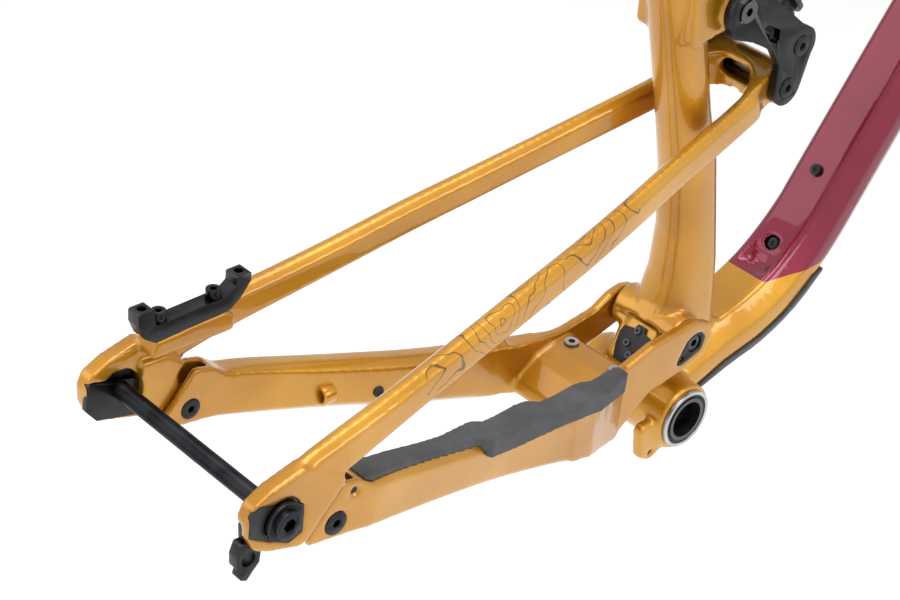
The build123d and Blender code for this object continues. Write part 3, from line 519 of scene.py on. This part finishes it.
def hoseLoop():
    place, normal = touch("chainstay", guideBoss["start"], (0, 1, 0))
    work = bmesh.new()
    ends = []
    for along in (-0.5, 0.5):
        loops = []
        for shrink in (0.0, guideBoss["wall"]):
            high, stand = guideBoss["halfHeight"] - shrink, guideBoss["stand"] - shrink
            arc = [(-guideBoss["sunk"], -high)]
            for step in range(guideBoss["steps"] + 1):
                angle = math.pi * (step / guideBoss["steps"] - 0.5)
                arc.append((stand * math.cos(angle), high * math.sin(angle)))
            arc.append((-guideBoss["sunk"], high))
            loops.append([work.verts.new(place + Vector((along * guideBoss["length"], -out, up)))
                          for out, up in arc])
        ends.append(loops)
    (outA, inA), (outB, inB) = ends
    for k in range(len(outA) - 1):
        work.faces.new((outA[k], outA[k + 1], inA[k + 1], inA[k]))
        work.faces.new((outB[k], inB[k], inB[k + 1], outB[k + 1]))
        work.faces.new((outA[k], outB[k], outB[k + 1], outA[k + 1]))
        work.faces.new((inA[k], inA[k + 1], inB[k + 1], inB[k]))
    for k in (0, -1):
        work.faces.new((outA[k], inA[k], inB[k], outB[k]))
    bmesh.ops.recalc_face_normals(work, faces=work.faces)
    rims = [e for e in work.edges if len(e.link_faces) == 2 and e.calc_face_angle() > math.radians(50)]
    bmesh.ops.bevel(work, geom=rims, offset=guideBoss["edge"], segments=3, affect="EDGES", profile=0.5)
    return newPiece("hose_guide_loop", work, "mustard", "swingarm")


hoseLoop()
print("hose loop moulded on")


def knurlTree():
    # ribs set round a ring, each a little different, at a place and turn given by the modifier
    tree = bpy.data.node_groups.new("Knurled ribs", "GeometryNodeTree")
    wanted = (("Geometry", "NodeSocketGeometry"), ("Ring Radius", "NodeSocketFloat"),
              ("Rib Count", "NodeSocketInt"), ("Rib Length", "NodeSocketFloat"),
              ("Rib Radius", "NodeSocketFloat"), ("Centre", "NodeSocketVector"),
              ("Turn", "NodeSocketVector"), ("Finish", "NodeSocketMaterial"))
    for name, kind in wanted:
        tree.interface.new_socket(name, in_out="INPUT", socket_type=kind)
    tree.interface.new_socket("Geometry", in_out="OUTPUT", socket_type="NodeSocketGeometry")
    given = addNode(tree, "NodeGroupInput").outputs
    ring = addNode(tree, "GeometryNodeMeshCircle", links={"Vertices": given["Rib Count"],
                                                          "Radius": given["Ring Radius"]})
    rib = addNode(tree, "GeometryNodeMeshCylinder", {"Vertices": 10},
                  {"Radius": given["Rib Radius"], "Depth": given["Rib Length"]})
    wearAndEdgeHighlight = addNode(tree, "FunctionNodeRandomValue", {"data_type": "FLOAT"})
    wearAndEdgeHighlight.inputs[2].default_value = 0.94  # sockets 2 and 3 are the number mode's least and most
    wearAndEdgeHighlight.inputs[3].default_value = 1.04
    wearAndEdgeHighlight.inputs["Seed"].default_value = 7
    placed = addNode(tree, "GeometryNodeInstanceOnPoints", links={
        "Points": ring.outputs["Mesh"], "Instance": rib.outputs["Mesh"], "Scale": wearAndEdgeHighlight.outputs[1]})
    turn = addNode(tree, "FunctionNodeEulerToRotation", links={"Euler": given["Turn"]})
    moved = addNode(tree, "GeometryNodeTransform", links={
        "Geometry": placed.outputs["Instances"], "Translation": given["Centre"],
        "Rotation": turn.outputs["Rotation"]})
    real = addNode(tree, "GeometryNodeRealizeInstances", links={"Geometry": moved.outputs["Geometry"]})
    painted = addNode(tree, "GeometryNodeSetMaterial", links={"Geometry": real.outputs["Geometry"],
                                                              "Material": given["Finish"]})
    result = addNode(tree, "NodeGroupOutput")
    tree.links.new(painted.outputs["Geometry"], result.inputs["Geometry"])
    return tree


knurls = {
    # node that carries the ribs, and the node its axis points to: ring radius, rib count, length, rib radius
    "hanger_washer": ("thru_axle", 0.0139, 44, 0.0026, 0.00048),
    "rebound_knob": ("shock_air_can", 0.0150, 56, 0.0034, 0.00050),
}
knurlNodes = knurlTree()
socketOf = {item.name: item.identifier for item in knurlNodes.interface.items_tree
            if item.in_out == "INPUT"}


def middle(node):
    low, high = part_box(node)
    return (Vector(low) + Vector(high)) / 2


for node, (target, radius, count, length, ribRadius) in knurls.items():
    axis = Vector((0, 1, 0)) if target == "thru_axle" else (middle(target) - middle(node)).normalized()
    piece = bpy.data.objects.new(node + "_knurl", bpy.data.meshes.new(node + "_knurl"))
    bpy.context.scene.collection.objects.link(piece)
    cut = piece.modifiers.new("knurl", "NODES")
    cut.node_group = knurlNodes
    cut[socketOf["Ring Radius"]] = radius
    cut[socketOf["Rib Count"]] = count
    cut[socketOf["Rib Length"]] = length
    cut[socketOf["Rib Radius"]] = ribRadius
    cut[socketOf["Centre"]] = tuple(middle(node))
    cut[socketOf["Turn"]] = tuple(axis.to_track_quat("Z", "Y").to_euler())
    cut[socketOf["Finish"]] = finishes["anodised"]
    bake(piece)
    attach(piece, bodyOf[node])
print("knurled ribs done")


studio = {
    "floorZ": -0.36, "floor": "#F4F4F3", "world": 0.85,
    # name, place, aim, size, power
    "lights": [
        ("Big overhead softbox", (-0.3, -0.2, 2.2), (0.0, 0.0, 0.1), 1.9, 30),
        ("Window side", (-2.2, 1.3, 1.3), (-0.1, 0.0, 0.1), 3.0, 22),
        ("Near fill", (0.5, -2.0, 1.0), (0.0, 0.0, 0.1), 1.0, 9),
    ],
    "lens": 89.68, "place": (-1.0789, -0.8540, 0.9530),
    "right": (0.7347, -0.6737, 0.0802), "up": (0.3205, 0.4488, 0.8342), "back": (-0.5979, -0.5871, 0.5456),
}


def makeFloor():
    mesh = bpy.data.meshes.new("studio_floor")
    half, z = 9.0, studio["floorZ"]
    mesh.from_pydata([(-half, -half, z), (half, -half, z), (half, half, z), (-half, half, z)], [],
                     [(0, 1, 2, 3)])
    floor = bpy.data.objects.new("studio_floor", mesh)
    bpy.context.scene.collection.objects.link(floor)
    material, tree, shader, place = startMaterial("Painted studio floor")
    faint = addNode(tree, "ShaderNodeTexNoise", {"Scale": 3, "Detail": 3}, {"Vector": place})
    tree.links.new(colourRamp(tree, faint.outputs["Fac"], [(0.3, linearColour("#EFEFEE")),
                                                           (0.7, linearColour(studio["floor"]))]),
                   shader.inputs["Base Color"])
    shader.inputs["Roughness"].default_value = 0.55
    mesh.materials.append(material)


def makeLights():
    world = bpy.data.worlds.new("Studio air")
    bpy.context.scene.world = world
    world.use_nodes = True
    world.node_tree.nodes["Background"].inputs["Color"].default_value = (1, 1, 1, 1)
    world.node_tree.nodes["Background"].inputs["Strength"].default_value = studio["world"]
    for name, place, aim, size, power in studio["lights"]:
        lamp = bpy.data.lights.new(name, "AREA")
        lamp.shape = "RECTANGLE"
        lamp.size = size
        lamp.size_y = size * 0.7
        lamp.energy = power
        holder = bpy.data.objects.new(name, lamp)
        bpy.context.scene.collection.objects.link(holder)
        holder.location = place
        holder.rotation_euler = (Vector(place) - Vector(aim)).to_track_quat("Z", "Y").to_euler()


def makeCamera():
    lens = bpy.data.cameras.new("viewpoint")
    lens.sensor_width = 36
    lens.lens = studio["lens"]
    lens.clip_end = 60
    camera = bpy.data.objects.new("viewpoint", lens)
    bpy.context.scene.collection.objects.link(camera)
    axes = Matrix((studio["right"], studio["up"], studio["back"])).transposed().to_4x4()
    camera.matrix_world = Matrix.Translation(studio["place"]) @ axes
    bpy.context.scene.camera = camera


makeFloor()
makeLights()
makeCamera()
bpy.context.scene.view_settings.view_transform = "Standard"
print("studio ready")
